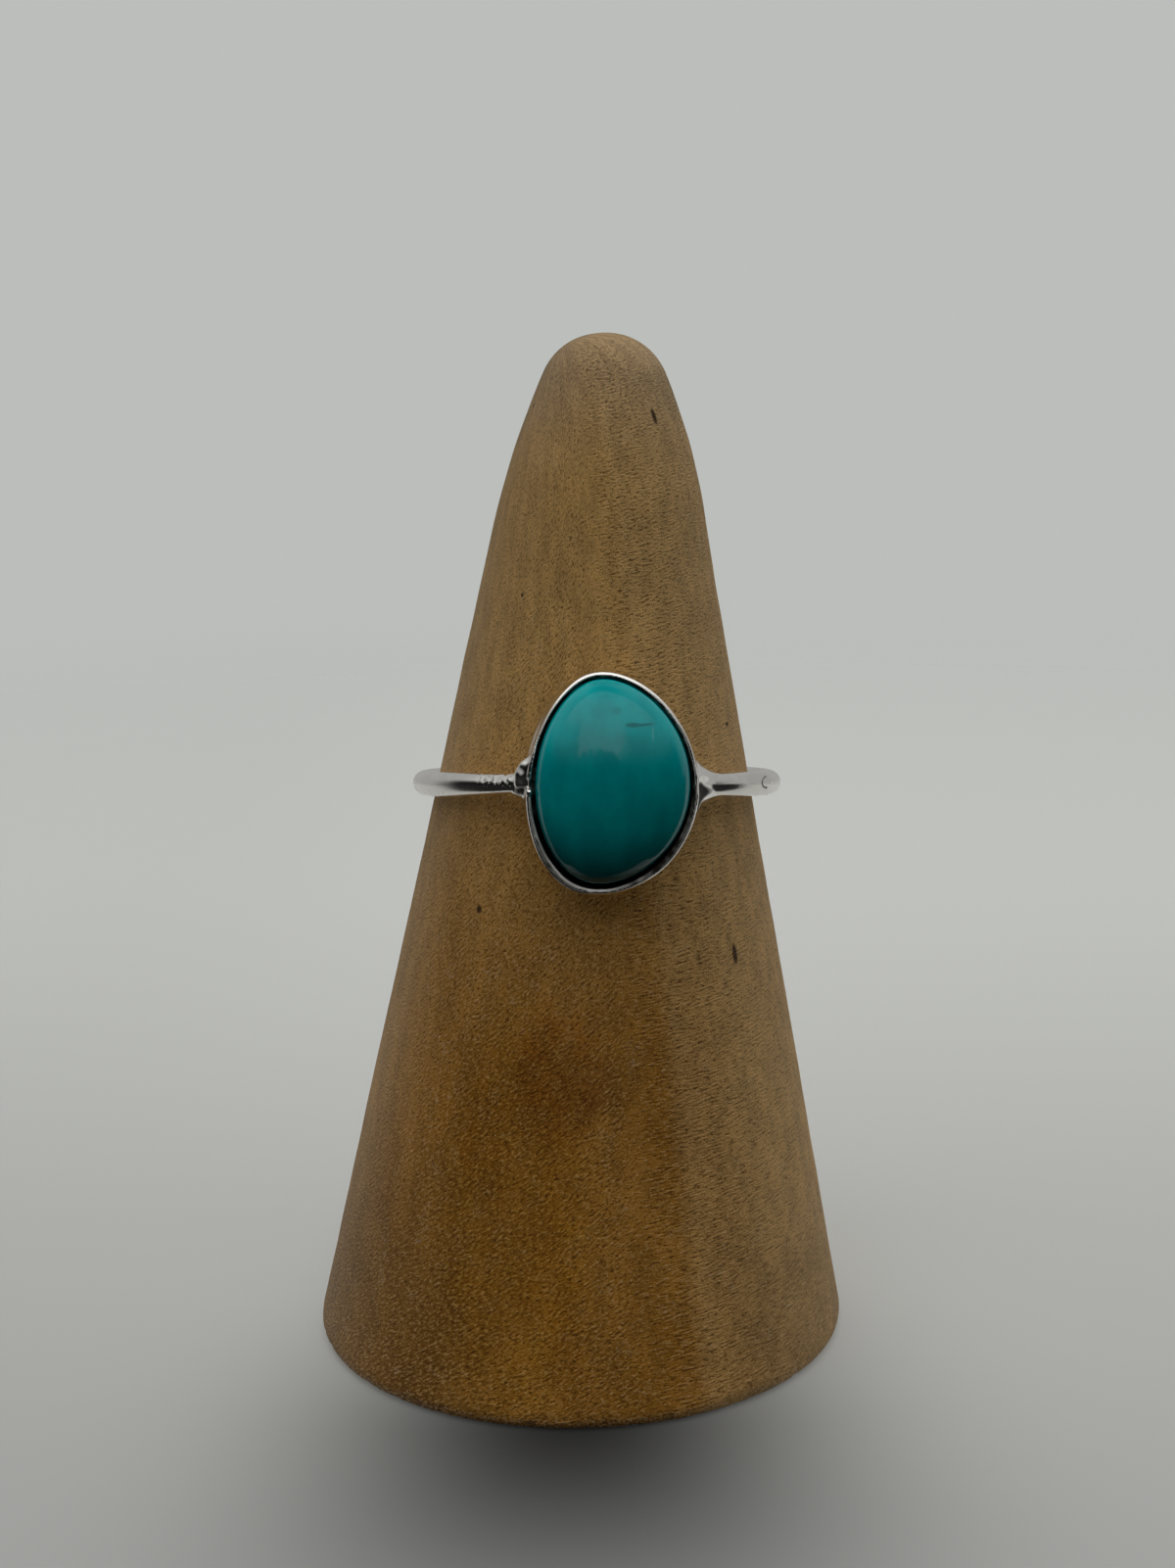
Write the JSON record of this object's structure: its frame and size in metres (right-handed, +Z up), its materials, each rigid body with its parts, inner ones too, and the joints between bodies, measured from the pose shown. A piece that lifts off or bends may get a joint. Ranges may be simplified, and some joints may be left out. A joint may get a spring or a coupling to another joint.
{
  "type": "turquoise ring on a wooden display cone",
  "caption": "Slim round-wire silver ring with a bezel-set oval turquoise cabochon, seated on a turned wooden display cone that stands on its foot.",
  "frame": {"origin": "centre of the cone's foot, on the surface that it stands on", "axes": "+Z up along the cone, the stone faces -Y, +X to the viewer's right"},
  "size_m": [0.0295, 0.0294, 0.0553],
  "materials": {
    "wood": "unfinished turned wood, fine open grain, matt",
    "silver": "polished silver with soft wear and rough solder at one joint",
    "turquoise": "polished opaque turquoise"
  },
  "bodies": {
    "root": {"display_cone": "wood", "silver_ring": "silver", "turquoise_stone": "turquoise"}
  },
  "joints": []
}
